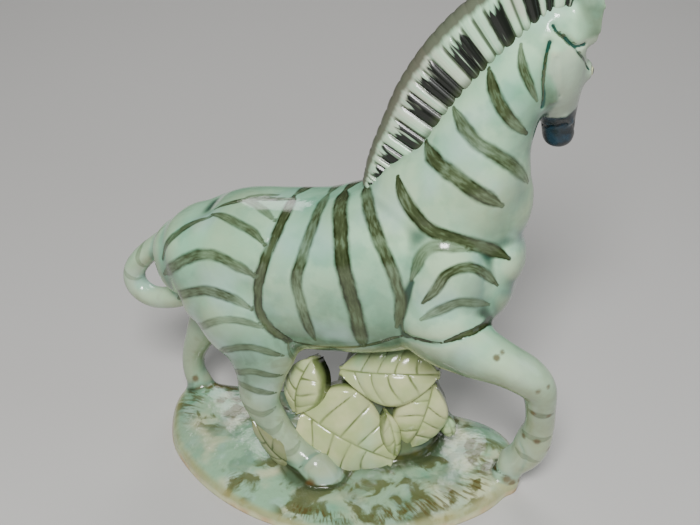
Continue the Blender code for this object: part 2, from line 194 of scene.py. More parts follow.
ground = {
    "outline": [
        (-100, 12), (-94, -10), (-79, -33), (-48, -55), (-12, -66), (28, -65), (62, -48), (88, -22),
        (97, 4), (93, 29), (74, 43), (38, 46), (0, 42), (-40, 35), (-74, 28), (-93, 23),
    ],
    "long": 197,
    "wide": 112,
    "below": -6,  # cut off flat at 0
    "rim": 5,
    "crown": 11,
    # x, y, radius, height
    "swells": [
        (-86, 16, 20, 3.5), (86, 28, 24, 5.8), (58, -18, 26, 3), (-30, -22, 22, 2.5), (4, -50, 30, -1.5),
        (-40, -45, 24, 1.5),
    ],
}


def headLines():
    start, end = spot(head["poll"]), spot(head["chin"])
    down = (end - start).normalized()
    face = Vector((math.cos(math.radians(head["yaw"])), math.sin(math.radians(head["yaw"])), 0))
    right = face.cross(Vector((0, 0, 1)))
    right = (right - down * right.dot(down)).normalized()
    forehead = right.cross(down)
    if forehead.dot(face) < 0:
        forehead.negate()
    return start, down, right, forehead


def headSpot(down, right, forehead):
    start, d, r, f = headLines()
    return start + (d * down + r * right + f * forehead) * mm


def ball(bm, centre, radii):
    matrix = Matrix.Translation(centre) @ Matrix.Diagonal((*(r * mm for r in radii), 1))
    bmesh.ops.create_icosphere(bm, subdivisions=4, radius=1, matrix=matrix)


def addHead(bm):
    start, down, right, forehead = headLines()
    rows = smoothRows(head["rows"], 6) * mm
    centres = [start + down * s + forehead * (f - j) / 2 for s, w, f, j in rows]
    sweepTube(bm, centres, [(w, (f + j) / 2) for s, w, f, j in rows], 32, right)
    for side in (1, -1):
        down, out, forward = head["eye"]
        ball(bm, headSpot(down, out * side, forward), head["eyeRadii"])
        addEar(bm, side)


def addEar(bm, side):
    _, down, right, forehead = headLines()
    below, out, forward = head["earRoot"]
    root = headSpot(below, out * side, forward)
    up = (-down + right * side * 0.16 + forehead * 0.1).normalized()
    width = (forehead * -0.3 * side + right * 0.95).normalized()
    rows = [
        (*(root + up * head["earLong"] * mm * share), head["earWide"] / 2 * wide * mm,
         head["earWall"] * (1.25 - 0.4 * share) * mm)
        for share, wide in head["earOutline"]
    ]
    rows = smoothRows(rows, 4)
    curl = head["earCup"] * (1 if up.cross(width).dot(forehead) < 0 else -1)
    sweepTube(bm, [Vector(r) for r in rows[:, :3]], rows[:, 3:5], 32, width, bend=curl)


def groundEdge():
    points = ground["outline"]
    rows = smoothRows(points[-2:] + points + points[:2], 10)[20 : (len(points) + 2) * 10]
    low, high = rows.min(0), rows.max(0)
    return (rows - (low + high) / 2) / (high - low) * (ground["long"], ground["wide"])


def groundHeight(x, y, share):
    # the mound's surface in mm; share is how far out it is towards the edge
    dome = ground["rim"] + (ground["crown"] - ground["rim"]) * np.sqrt(np.clip(1 - share**2, 0, 1))
    lift = sum(
        high * np.exp(-((x - a) ** 2 + (y - b) ** 2) / radius**2)
        for a, b, radius, high in ground["swells"]
    )
    return dome + lift * np.clip((1 - share) * 6, 0, 1)


def addGround(bm):
    edge = groundEdge()
    before = None
    rings = [(1.0, ground["below"]), (1.0, 3), (0.985, ground["rim"])]
    rings += [(math.cos(math.radians(a)), None) for a in range(15, 88, 6)]
    for share, height in rings:
        ring = bmesh.ops.create_circle(bm, segments=len(edge), radius=1)["verts"]
        for vert, (x, y) in zip(ring, edge * share):
            z = height
            if z is None:
                z = groundHeight(x - baseMiddle.x, y - baseMiddle.y, share)
            vert.co = Vector((x, y, z)) * mm
        before = joinRing(bm, ring, before)
    bmesh.ops.contextual_create(bm, geom=ring)


def meshPoints(mesh, what="co"):
    values = np.empty(len(mesh.vertices) * 3)
    if what == "co":
        mesh.vertices.foreach_get("co", values)
    else:
        mesh.vertex_normals.foreach_get("vector", values)
    return values.reshape(-1, 3)


def setPoints(mesh, points):
    mesh.vertices.foreach_set("co", points.ravel())
    mesh.update()


def neighbourPull(mesh):
    # a function giving each point's way to the mean of its neighbours
    count = len(mesh.vertices)
    ends = np.empty(len(mesh.edges) * 2, np.int64)
    mesh.edges.foreach_get("vertices", ends)
    a, b = ends.reshape(-1, 2).T
    degree = np.bincount(ends, minlength=count)[:, None]

    def pull(values):
        mean = np.stack(
            [
                np.bincount(a, values[b, k], count) + np.bincount(b, values[a, k], count)
                for k in range(values.shape[1])
            ],
            axis=1,
        )
        return mean / degree - values

    return pull


def fillCreases(mesh, passes):
    pull = neighbourPull(mesh)
    points = meshPoints(mesh)
    for turn in range(passes):
        if turn % 5 == 0:
            setPoints(mesh, points)
            normals = meshPoints(mesh, "normal")
        step = pull(points)
        hollow = (step * normals).sum(1)[:, None] > 0
        points = points + step * np.where(hollow, 0.5, 0.12)
    setPoints(mesh, points)


def castZebra():
    bm = bmesh.new()
    limb(bm, body["torso"], 48, 2.6)
    limb(bm, body["neck"], 40)
    for name in ("nearHindLeg", "farHindLeg", "nearForeleg", "farForeleg"):
        limb(bm, body[name])
    tail = smoothRows(body["tail"], 6)
    sweepTube(bm, [spot(p) for p in tail], [(body["tailThick"] / 2 * mm,) * 2] * len(tail), 24)
    for centre, radii in body["muscles"]:
        ball(bm, spot(centre), radii)
    for top, sole, wide, long in body["hooves"]:
        top, sole = Vector(top), Vector(sole)
        rows = [
            (*top, wide * 0.8, long * 0.74), (*top.lerp(sole, 0.35), wide * 0.94, long * 0.9),
            (*top.lerp(sole, 0.8), wide, long), (*sole, wide, long),
        ]
        limb(bm, rows)
    addHead(bm)
    limb(bm, [(x, y, z, b, a) for x, y, z, a, b in body["stump"]])
    addGround(bm)
    cast = toObject(bm, "zebra")
    remesh = cast.modifiers.new("castAsOne", "REMESH")
    remesh.mode = "VOXEL"
    remesh.voxel_size = body["voxel"] * mm
    graph = bpy.context.evaluated_depsgraph_get()
    mesh = bpy.data.meshes.new_from_object(cast.evaluated_get(graph))
    cast.modifiers.clear()
    fillCreases(mesh, body["glazeFill"])
    cast.data = mesh
    return cast


def cutFlat(cast):
    bm = bmesh.new()
    bm.from_mesh(cast.data)
    geom = bm.verts[:] + bm.edges[:] + bm.faces[:]
    cut = bmesh.ops.bisect_plane(
        bm, geom=geom, dist=1e-7, plane_co=(0, 0, 0), plane_no=(0, 0, 1), clear_inner=True
    )["geom_cut"]
    edges = [e for e in cut if isinstance(e, bmesh.types.BMEdge)]
    bmesh.ops.holes_fill(bm, edges=edges, sides=0)
    bm.to_mesh(cast.data)
    bm.free()


def refineHead(cast):
    # finer faces where the face and ears are carved
    bm = bmesh.new()
    bm.from_mesh(cast.data)
    low, top = spot((70, 0, 178)), 262 * mm
    chosen = [
        e for e in bm.edges
        if all(v.co.z > low.z and v.co.x > low.x + (top - v.co.z) * 0.1 for v in e.verts)
    ]
    bmesh.ops.subdivide_edges(bm, edges=chosen, cuts=1, use_grid_fill=True, smooth=0.6)
    bmesh.ops.triangulate(bm, faces=[f for f in bm.faces if len(f.verts) > 4])
    bm.to_mesh(cast.data)
    bm.free()


zebra = castZebra()
print("zebra cast", len(zebra.data.polygons), "faces")
cutFlat(zebra)
refineHead(zebra)
print("head refined", len(zebra.data.polygons), "faces")


# carved lines and painted marks that follow the surface
def surfaceOf(cast):
    mesh = cast.data
    points = [Vector(p) for p in meshPoints(mesh)]
    return BVHTree.FromPolygons(points, [tuple(p.vertices) for p in mesh.polygons])


def layOn(surface, rows, spacing=0.6):
    # points of a smooth line pressed to the surface, with its tangents, normals and run in mm
    rows = smoothRows([tuple(spot(r)) for r in rows], 40)
    for turn in range(150):
        rows[1:-1] = (rows[:-2] + rows[2:]) / 2
    laid, normals = [], []
    for row in rows:
        place, normal = surface.find_nearest(Vector(row))[:2]
        laid.append(place)
        normals.append(normal)
    laid = np.array(laid)
    run = np.concatenate([[0], np.cumsum(np.linalg.norm(np.diff(laid, axis=0), axis=1))])
    count = max(3, int(run[-1] / (spacing * mm)))
    at = np.linspace(0, run[-1], count)
    points = np.stack([np.interp(at, run, laid[:, k]) for k in range(3)], 1)
    normals = np.array(normals)
    normals = np.stack([np.interp(at, run, normals[:, k]) for k in range(3)], 1)
    tangents = np.gradient(points, axis=0)
    tangents /= np.linalg.norm(tangents, axis=1)[:, None] + 1e-12
    return points, tangents, normals, at / mm


def carve(cast, lines):
    # each line: width, depth and points in mm; a negative depth raises a ridge
    surface = surfaceOf(cast)
    points, normals = meshPoints(cast.data), meshPoints(cast.data, "normal")
    moved = points.copy()
    for width, depth, rows in lines:
        line, _, lineNormals, _ = layOn(surface, rows)
        low, high = line.min(0) - 4 * width * mm, line.max(0) + 4 * width * mm
        near = np.where(((points > low) & (points < high)).all(1))[0]
        if not len(near):
            continue
        gaps = np.empty(len(near))
        for k in range(0, len(near), 4000):
            part = points[near[k : k + 4000]]
            gaps[k : k + 4000] = np.sqrt(((part[:, None] - line[None]) ** 2).sum(2).min(1))
        facing = np.clip(normals[near] @ lineNormals.mean(0) * 2, 0, 1)
        push = depth * mm * np.exp(-((gaps / (width * mm)) ** 2)) * facing
        moved[near] -= normals[near] * push[:, None]
    setPoints(cast.data, moved)


def onHead(down, right, forehead):
    # a place on the head as an ordinary point
    return tuple(headSpot(down, right, forehead) / mm - baseMiddle)


def ringOnHead(down, right, forehead, side, wide, high):
    # a closed line round a place on the side of the face
    turns = [math.radians(a) for a in range(0, 361, 30)]
    return [onHead(down + high * math.sin(t), right * side, forehead + wide * math.cos(t)) for t in turns]


# folds that are carved, and painted where dark glaze runs in them
folds = {
    "flank": [
        (-20, -26, 140), (-22, -32, 128), (-25, -34, 118), (-26, -34, 107), (-21, -34, 96), (-12, -31, 88)
    ],
    "elbow": [
        (47, -32, 105), (55, -35, 106), (65, -35, 107), (73, -33, 111), (79, -28, 113), (83, -16, 111)
    ],
    "cheek": [(96, 0, 241), (95, 0, 235), (95, -1, 230), (95, -1, 224), (95, 1, 218), (95, 2, 212)],
    "lid": [(102, 5, 242), (105, 6, 239), (108, 8, 235), (109, 16, 229), (111, 21, 224)],
    "earRoot": [(96, 4, 247), (98, 3, 245), (101, 4, 243), (104, 5, 240), (107, 8, 238), (110, 10, 238)],
}
carving = [
    # flank and haunch against the barrel
    (1.6, 1.4, folds["flank"]),
    # shoulder against the barrel and the elbow's fold
    (2.0, 0.5, [(50, -30, 134), (46, -32, 122), (45, -32, 112), (47, -32, 105)]),
    (1.5, 1.1, folds["elbow"]),
    # tail lying against the rump
    (1.6, 0.7, [(-83, -21, 115), (-79, -23, 125), (-73, -21, 132)]),
    # cheek against the neck, and the cheek's own swell
    (1.1, 1.3, folds["cheek"]),
    (2.6, -0.9, [(99, 1, 236), (100, 2, 228), (100, 3, 221), (99, 5, 215)]),
    # upper lid, from the ear's root to the eye
    (0.8, 1.1, folds["lid"]),
    # under the ear's root, down the cheek, the mouth and a swell by the nostril
    (0.9, 1.3, folds["earRoot"]),
    (1.3, 0.5, [(99, 1, 234), (99, 1, 228), (100, 2, 223), (101, 5, 217)]),
    (0.9, 1.3, [(91, 25, 194), (96, 19, 196), (100, 18, 197), (103, 19, 198)]),
    (1.8, -1.3, [(103, 16, 203), (105, 21, 199)]),
    # coronets and fetlocks of the near hooves
    (1.0, 0.8, [(-5, -39, 17), (-2, -37, 21), (1, -32, 23), (4, -26, 22)]),
    (1.0, 0.9, [(2, -43, 10), (8, -43, 11), (14, -40, 12), (18, -34, 12), (18, -27, 12)]),
    (1.0, 0.6, [(100, -6, 37), (103, -7, 33), (104, -6, 26), (102, -3, 17)]),
    (1.0, 0.8, [(87, 9, 9), (91, -2, 13), (96, -3, 11), (100, -1, 11)]),
]
# bark on the stump's far side
carving += [
    (1.5, 1.3, [(x, 32, 12), (x + 1, 30, 30), (x - 1, 26, 50), (x, 22, 74)])
    for x in (6, 13, 21, 28, 36, 43)
]
for side in (1, -1):
    carving += [
        (0.6, 0.7, ringOnHead(23.5, 14, 6.5, side, 2.2, 3.0)),
        (0.7, 0.9, [onHead(47, 9 * side, -2), onHead(51, 8 * side, 0.5), onHead(55, 6.5 * side, 2.5)]),
        (1.3, 1.3, [onHead(48.5, 7 * side, 6), onHead(50.5, 6 * side, 7), onHead(52, 4.6 * side, 7)]),
        (2.0, 0.5, [onHead(30, 9 * side, 8), onHead(38, 7 * side, 7), onHead(44, 6 * side, 6)]),
    ]
carve(zebra, carving)


def addLayer(mesh, name, values):
    layer = mesh.attributes.new(name, "FLOAT", "POINT")
    layer.data.foreach_set("value", np.asarray(values, np.float32))


# each stroke: half width, strength of the paint, 2 if the other side mirrors it or else 1, points
strokes = {
    "barrel1": (2.3, 0.85, 2, [
        (-20, 0, 151), (-18, -11, 150), (-18, -23, 145), (-21, -30, 136), (-25, -34, 120),
        *folds["flank"][3:]
    ]),
    "barrel2": (2.6, 0.75, 2, [
        (-2, 0, 154), (-1, -20, 151), (-3, -30, 139), (-6, -34, 126), (-4, -34, 116), (-2, -34, 107),
        (2, -31, 92)
    ]),
    "barrel3": (3.4, 0.9, 2, [
        (7, 0, 156), (12, -22, 154), (15, -29, 147), (18, -34, 134), (23, -35, 119), (26, -33, 101),
        (26, -31, 92)
    ]),
    "barrel4": (2.7, 0.8, 2, [
        (18, 0, 163), (27, -23, 158), (37, -30, 144), (42, -31, 133), (45, -32, 121), (43, -32, 109)
    ]),
    "shoulder1": (2.8, 0.9, 2, [
        (36, -13, 176), (41, -19, 169), (48, -23, 163), (55, -24, 158), (65, -23, 155), (73, -20, 152),
        (81, -14, 148), (88, -9, 142)
    ]),
    "neck1": (3.2, 0.85, 2, [
        (46, -6, 192), (53, -14, 187), (62, -18, 184), (70, -18, 179), (78, -16, 174), (84, -13, 170)
    ]),
    "neck2": (2.8, 0.75, 2, [
        (58, -5, 209), (64, -11, 204), (71, -13, 198), (78, -12, 194), (84, -10, 190), (89, -6, 184),
        (92, 0, 177)
    ]),
    "neck3": (2.5, 0.85, 2, [(72, -1, 227), (75, -7, 221), (79, -8, 214), (85, -8, 207), (90, -3, 201)]),
    "neck4": (1.9, 0.75, 2, [(84, 0, 239), (86, -3, 231), (90, -4, 223), (93, -2, 216)]),
    "shoulder2": (2.5, 0.65, 2, [
        (49, -31, 135), (51, -30, 142), (53, -28, 148), (58, -26, 152), (65, -25, 152), (72, -21, 150)
    ]),
    "shoulder3": (2.1, 0.8, 2, [
        (55, -33, 125), (61, -32, 133), (64, -31, 140), (69, -28, 143), (75, -24, 143), (80, -18, 137),
        (85, -14, 130)
    ]),
    "shoulder4": (2.2, 0.7, 2, [
        (55, -34, 117), (63, -32, 123), (70, -30, 127), (76, -26, 126), (82, -17, 121)
    ]),
    "shoulder5": (1.3, 1.1, 2, folds["elbow"][2:]),
    "loin1": (1.9, 0.6, 1, [
        (-28, 0, 150), (-36, -2, 149), (-43, -6, 148), (-33, -12, 148), (-22, -20, 147)
    ]),
    "loin2": (1.9, 0.75, 2, [
        (-57, -16, 142), (-50, -18, 143), (-41, -22, 143), (-31, -25, 142), (-23, -29, 138)
    ]),
    "haunch1": (2.5, 0.75, 2, [
        (-83, -21, 106), (-70, -29, 119), (-60, -30, 126), (-50, -31, 129), (-40, -32, 127),
        (-32, -33, 125), (-27, -34, 123)
    ]),
    "haunch2": (2.3, 0.75, 2, [
        (-82, -11, 86), (-70, -27, 101), (-60, -33, 107), (-53, -34, 110), (-43, -35, 110), (-35, -35, 108),
        (-29, -35, 105)
    ]),
    "haunch3": (1.8, 0.6, 2, [
        (-72, -18, 80), (-61, -28, 84), (-50, -36, 94), (-40, -37, 98), (-31, -36, 98), (-23, -34, 95)
    ]),
    "dorsal": (1.7, 0.75, 1, [(-18, -4, 151), (-33, -5, 151), (-46, -8, 149), (-58, -13, 145)]),
    "belly": (0.9, 1.0, 2, [(-12, -31, 88), (2, -29, 85), (18, -29, 90), (34, -30, 97), (47, -32, 105)]),
    "elbow": (0.9, 1.0, 2, folds["elbow"][:3]),
    "armpit": (0.9, 0.5, 2, [(45, -32, 122), (45, -32, 112), (47, -32, 105)]),
    "thighFront": (0.9, 0.6, 1, [(-12, -31, 88), (-15, -26, 78), (-18, -22, 66), (-20, -20, 55)]),
    "thigh1": (1.9, 0.7, 1, [
        (-50, -30, 74), (-41, -36, 80), (-31, -36, 84), (-22, -35, 82), (-15, -31, 79)
    ]),
    "thigh2": (1.8, 0.7, 1, [
        (-42, -28, 62), (-38, -33, 65), (-30, -35, 69), (-21, -34, 67), (-16, -30, 66)
    ]),
    "thigh3": (1.6, 0.65, 1, [(-40, -28, 57), (-35, -35, 58), (-27, -35, 57), (-20, -30, 55)]),
    "rump": (1.6, 0.75, 2, [
        (-83, -21, 115), (-79, -23, 125), (-73, -22, 132), (-65, -19, 138), (-56, -18, 141)
    ]),
    "earLine": (0.6, 0.75, 1, folds["earRoot"][:5]),
    "lidLine": (0.5, 0.7, 1, folds["lid"][1:]),
    "jawLine": (0.5, 0.8, 1, folds["cheek"]),
    "kneeBand": (2.2, 0.5, 1, [(103, -14, 67), (105, -16, 66), (111, -16, 64), (116, -12, 64)]),
    "shinBand": (1.9, 0.45, 1, [(101, -5, 45), (106, -9, 45), (113, -9, 44), (116, -4, 46)]),
    "fetlock": (1.6, 0.4, 1, [(96, -4, 33), (101, -8, 30), (108, -9, 27), (111, -3, 26)]),
    "kneeShade": (1.6, 0.5, 1, [(94, -26, 84), (100, -22, 79), (101, -17, 68), (100, -10, 55)]),
    "hock": (1.7, 0.45, 1, [(-42, -30, 46), (-34, -37, 44), (-26, -37, 43), (-20, -31, 46)]),
    "hindShin": (1.7, 0.35, 1, [(-34, -30, 36), (-26, -37, 32), (-19, -37, 34), (-15, -31, 39)]),
    "hindFetlock": (1.6, 0.35, 1, [(-22, -32, 24), (-15, -38, 21), (-8, -37, 25), (-6, -31, 29)]),
    "farThigh1": (1.9, 0.7, 1, [(-78, 24, 94), (-66, 32, 91), (-54, 26, 87)]),
    "farThigh2": (1.8, 0.65, 1, [(-84, 22, 76), (-72, 30, 73), (-60, 24, 70)]),
    "farHock": (1.6, 0.5, 1, [(-91, 22, 57), (-80, 28, 55), (-70, 22, 53)]),
    "farShin": (1.5, 0.4, 1, [(-97, 20, 36), (-90, 26, 34), (-83, 20, 35)]),
    "farFore1": (1.9, 0.65, 1, [(36, 34, 90), (47, 40, 88), (58, 34, 86)]),
    "farFore2": (1.7, 0.6, 1, [(33, 32, 72), (43, 40, 70), (53, 33, 68)]),
    "farFore3": (1.5, 0.5, 1, [(34, 32, 54), (42, 39, 52), (49, 33, 51)]),
    "farFore4": (1.5, 0.4, 1, [(36, 33, 34), (43, 40, 32), (50, 35, 31)]),
    "tailBand1": (1.3, 0.5, 1, [(-85, -10, 124), (-89, -12, 119), (-88, -10, 112)]),
    "tailBand2": (1.3, 0.4, 1, [(-101, -3, 113), (-106, -8, 105), (-104, -4, 99)]),
    "tailBand3": (1.3, 0.35, 1, [(-116, -3, 95), (-113, -9, 92), (-108, -4, 90)]),
}
strokeSwell = 1.3  # how many half widths the paint spreads to


def paintStrokes(cast):
    surface = surfaceOf(cast)
    lines = []
    for half, strength, sides, rows in strokes.values():
        lines.append((rows, half, strength))
        if sides == 2:
            # the middle of the body bends aside up the neck, and the turned cheek is left bare
            mirrored = [
                (x, 2 * np.interp(x, (40, 65, 75, 82), (0, 3, 5, 7)) - y, z)
                for x, y, z in rows if x < 82 or z < 195
            ]
            if len(mirrored) > 2:
                lines.append((mirrored, half, strength * 0.9))
    points, normals = meshPoints(cast.data), meshPoints(cast.data, "normal")
    count = len(points)
    gapShare, across = np.full(count, 3.0), np.zeros(count)
    along, strong = np.zeros(count), np.zeros(count)
    offset = 0
    for rows, half, strength in lines:
        line, tangents, lineNormals, run = layOn(surface, rows)
        taper = np.clip(np.minimum(run, run[-1] - run) / 9, 0.12, 1) ** 0.5
        low, high = line.min(0) - 3.5 * half * mm, line.max(0) + 3.5 * half * mm
        near = np.where(((points > low) & (points < high)).all(1))[0]
        for k in range(0, len(near), 4000):
            part = near[k : k + 4000]
            gap = points[part][:, None] - line[None]
            far = np.sqrt((gap**2).sum(2))
            best = far.argmin(1)
            pick = np.arange(len(part))
            sideways = np.cross(tangents[best], lineNormals[best])
            sign = np.sign((gap[pick, best] * sideways).sum(1) + 1e-9)
            ratio = far[pick, best] / (half * strokeSwell * mm * taper[best])
            ratio = ratio + 4 * ((normals[part] * lineNormals[best]).sum(1) < 0)
            better = ratio < gapShare[part]
            gapShare[part[better]] = ratio[better]
            across[part[better]] = (ratio * sign)[better]
            along[part[better]] = run[best][better] + offset
            strong[part[better]] = strength
        offset += 37
    addLayer(cast.data, "gapShare", gapShare)
    addLayer(cast.data, "across", across)
    addLayer(cast.data, "along", along)
    addLayer(cast.data, "strong", strong)


paintStrokes(zebra)
print("strokes laid", len(strokes))


# brown dabs: place and radius
dabs = [
    ((90, -29, 101), 2.6), ((92, -26, 103), 2.4), ((109, -23, 83), 3.0), ((113, -19, 84), 2.6),
    ((107, -17, 65), 2.8), ((114, -14, 64), 2.6), ((102, -7, 43), 2.8), ((109, -9, 43), 3.2),
    ((114, -2, 35), 3.5), ((90, 2, 11), 4.2), ((95, -3, 10), 4.6), ((88, 9, 9), 4.6),
    ((2, -42, 12), 4.6), ((9, -43, 9), 4.2), ((16, -36, 10), 3.6), ((98, -3, 8), 4.4),
    ((101, 2, 8), 4.2), ((-86, 11, 12), 4.4), ((103, -20, 76), 4.5), ((-27, -32, 46), 4.0),
    ((-10, -24, 32), 3.5), ((-89, 11, 18), 3.5), ((-84, 12, 12), 4.5), ((-96, 17, 10), 4.5),
    ((48, 27, 14), 4.5), ((53, 33, 9), 5),
]


zones = {
    "glazePoolAndShadePasses": 40,
    "tiltPasses": 12,
    "softPasses": 8,
    "headFrom": (80, 178),  # x and height past which a place is on the head
    "faceFrom": 96.5,
    "muzzleFrom": 37,  # down the head's line
    "muzzleReach": 13.5,  # from the head's axis
    "frontSlateHeights": (112, 215),
    "frontSlateFrom": 40,
    "stump": ((25, 7, 40), (36, 30, 40)),
    "eye": (23.5, 14.5, 7),
    "eyeRadius": 3.8,
}


def paintZones(cast):
    # where glaze pools and painted shade darkens the hollows, and the soft-edged zones of other colours
    mesh = cast.data
    pull = neighbourPull(mesh)
    places, normals = meshPoints(mesh), meshPoints(mesh, "normal")
    middle = np.array(baseMiddle)
    points = places / mm - middle
    x, y, z = points.T
    flat, tilt = places, normals[:, 2:]
    # how hollow each place is: the glazes paint pooled glaze and shade in the hollows from it
    for turn in range(zones["glazePoolAndShadePasses"]):
        flat = flat + pull(flat) * 0.5
    addLayer(mesh, "glazePoolAndShade", ((flat - places) * normals).sum(1) / mm)
    # how far each place looks up, evened out, from which the glaze paints shade where the body faces down
    for turn in range(zones["tiltPasses"]):
        tilt = tilt + pull(tilt) * 0.5
    addLayer(mesh, "tilt", tilt[:, 0])
    start, down, _, forehead = [np.array(v) for v in headLines()]
    fromPoll = (places - start) @ down / mm
    headSide = (places - start) @ forehead / mm
    headPart = (z > zones["headFrom"][1]) & (x > zones["headFrom"][0]) & (headSide > -19 + fromPoll * 0.12)
    fromLine = np.linalg.norm(places - start - fromPoll[:, None] * mm * down, axis=1)
    onMuzzle = headPart & (fromLine < zones["muzzleReach"] * mm)
    addLayer(mesh, "muzzle", np.clip(np.where(onMuzzle, (fromPoll - zones["muzzleFrom"]) / 6, -1), -1, 1.5))
    face = (headPart & (fromPoll > 2) & (x + y * 0.3 > zones["faceFrom"])).astype(float)[:, None]
    # slate on the places that face forward, between two heights, from the chest up the neck
    low, high = zones["frontSlateHeights"]
    frontSlate = np.clip((normals[:, :1] - 0.45) / 0.4, 0, 1)
    frontSlate = frontSlate * np.clip((points[:, 2:] - low) / 12, 0, 1) * np.clip((high - points[:, 2:]) / 20, 0, 1)
    for turn in range(zones["softPasses"]):
        face, frontSlate = face + pull(face) * 0.5, frontSlate + pull(frontSlate) * 0.5
    addLayer(mesh, "face", face[:, 0])
    addLayer(mesh, "frontSlate", frontSlate[:, 0] * (x > zones["frontSlateFrom"]))
    # how far out on the base, the way round it, and the height above the ground there
    edge = groundEdge()
    edgeAngle = np.arctan2(edge[:, 1], edge[:, 0])
    order = np.argsort(edgeAngle)
    angle = np.arctan2(y + middle[1], x + middle[0])
    edgeReach = np.hypot(edge[:, 0], edge[:, 1])[order]
    reach = np.interp(angle, edgeAngle[order], edgeReach, period=2 * math.pi)
    share = np.hypot(x + middle[0], y + middle[1]) / reach
    addLayer(mesh, "aboveGround", z - groundHeight(x, y, share))
    addLayer(mesh, "edgeShare", share)
    addLayer(mesh, "roundEdge", angle * 75)

    def nearTo(spots, full=1.0):
        # full at the middle of the nearest spot, falling by 1 to its radius
        gaps = [np.linalg.norm((points - np.array(place)) / radius, axis=1) for place, radius in spots]
        return np.maximum(-1.0, full - np.min(gaps, axis=0))

    hooves = [(sole, (long + 4, wide + 4, 11)) for top, sole, wide, long in body["hooves"]]
    below, out, forward = zones["eye"]
    eyes = [
        (np.array(headSpot(below, out * side, forward)) / mm - middle, zones["eyeRadius"])
        for side in (1, -1)
    ]
    addLayer(mesh, "hoof", nearTo(hooves, 1.15))
    addLayer(mesh, "stump", nearTo([zones["stump"]], 1.15))
    addLayer(mesh, "eye", nearTo(eyes))
    addLayer(mesh, "dab", nearTo(dabs))


paintZones(zebra)

# mane
mane = {
    # a point on the outer edge and one on the root inside the neck, from withers to forelock
    "rows": [
        (15, 0, 165, 30, 1, 158), (18, 0, 180, 38, 1, 170), (24, 1, 198, 48, 2, 185),
        (31, 2, 216, 58, 3, 200), (43, 3, 236, 68, 5, 214), (58, 5, 253, 78, 8, 226),
        (76, 8, 267, 88, 11, 238), (95, 14, 271, 95, 15, 247), (104, 22, 264, 99, 19, 246),
        (106, 27, 252, 101, 21, 240), (105, 30, 243, 101, 23, 235),
    ],
    "thick": 12.5,
    "lockDeep": 1.9,
    "steps": 420,
    "length": 172,  # along the outer edge
    # start and end of each black lock, in mm from the withers; pale locks lie between
    "black": [
        (3, 6), (8, 15), (18.5, 25.5), (31, 39), (46, 54), (60, 73), (81, 93), (106, 114), (124.5, 131),
        (135.5, 139), (146, 150), (157, 161),
    ],
    # from root to outer edge, and the thickness there
    "profile": [
        (0, 1.1), (0.12, 1.08), (0.24, 1.06), (0.36, 1.04), (0.46, 1.02), (0.55, 1), (0.63, 0.97),
        (0.7, 0.94), (0.76, 0.91),
        (0.81, 0.87), (0.86, 0.8), (0.9, 0.72), (0.94, 0.6), (0.97, 0.43), (0.99, 0.22),
    ],
}


def lockEnds():
    # where one lock meets the next: at each black lock's ends and halfway over wide pale gaps
    ends = sorted({0, mane["length"], *(v for block in mane["black"] for v in block)})
    halfway = [(a + b) / 2 for a, b in zip(ends, ends[1:]) if b - a > 9]
    return np.array(sorted(ends + halfway))


def makeMane():
    rows = smoothRows(mane["rows"], 8)
    edge, root = rows[:, :3], rows[:, 3:6]
    travel = np.concatenate([[0], np.cumsum(np.linalg.norm(np.diff(edge, axis=0), axis=1))])
    bm = bmesh.new()
    lockLayer = bm.verts.layers.float.new("alongMane")
    riseLayer = bm.verts.layers.float.new("rise")
    grooveLayer = bm.verts.layers.float.new("groove")
    ends = lockEnds()
    before = None
    count = mane["steps"]

    def onLine(line, at):
        return [np.interp(at, travel, line[:, k]) for k in range(3)]

    for i in range(count):
        at = travel[-1] * i / (count - 1)
        outer, inner = spot(onLine(edge, at)), spot(onLine(root, at))
        lock = np.interp(at, ends, np.arange(len(ends)))
        swell = (abs(math.sin(math.pi * lock)) ** 0.5 - 0.65) * mane["lockDeep"]
        hair = 0.05 * math.sin(at * 5.3 + 2 * math.sin(at * 0.7))
        way = (outer - inner).normalized()
        ahead, behind = Vector(onLine(edge, at + 1)), Vector(onLine(edge, at - 1))
        side = (ahead - behind).cross(way).normalized()
        outer += way * swell * 0.25 * mm
        ring = []
        for face in (1, -1):
            line = []
            for share, wide in mane["profile"]:
                lobes = min(1, max(0, (0.84 - share) / 0.1))
                tip = 0.5 * math.exp(-(((share - 0.84) / 0.03) ** 2))
                slim = min(1, 0.5 + (travel[-1] - at) / 26)
                half = mane["thick"] / 2 * wide * slim + lobes * (swell + hair) - tip
                line.append(inner.lerp(outer, share) + side * face * half * mm)
            ring += line if face == 1 else line[::-1]
        verts = bmesh.ops.create_circle(bm, segments=len(ring), radius=1)["verts"]
        shares = [share for share, wide in mane["profile"]]
        for vert, place, share in zip(verts, ring, shares + shares[::-1]):
            vert.co = place
            vert[lockLayer] = at
            vert[riseLayer] = share
            vert[grooveLayer] = abs(lock - round(lock)) * 2
        before = joinRing(bm, verts, before)
    bmesh.ops.contextual_create(bm, geom=verts)
    made = toObject(bm, "mane")
    at = np.empty(len(made.data.vertices))
    made.data.attributes["alongMane"].data.foreach_get("value", at)
    block = np.max([np.minimum(at - a, b - at) for a, b in mane["black"]], axis=0)
    addLayer(made.data, "block", block)
    return made


crest = makeMane()
print("mane made", len(crest.data.polygons), "faces")

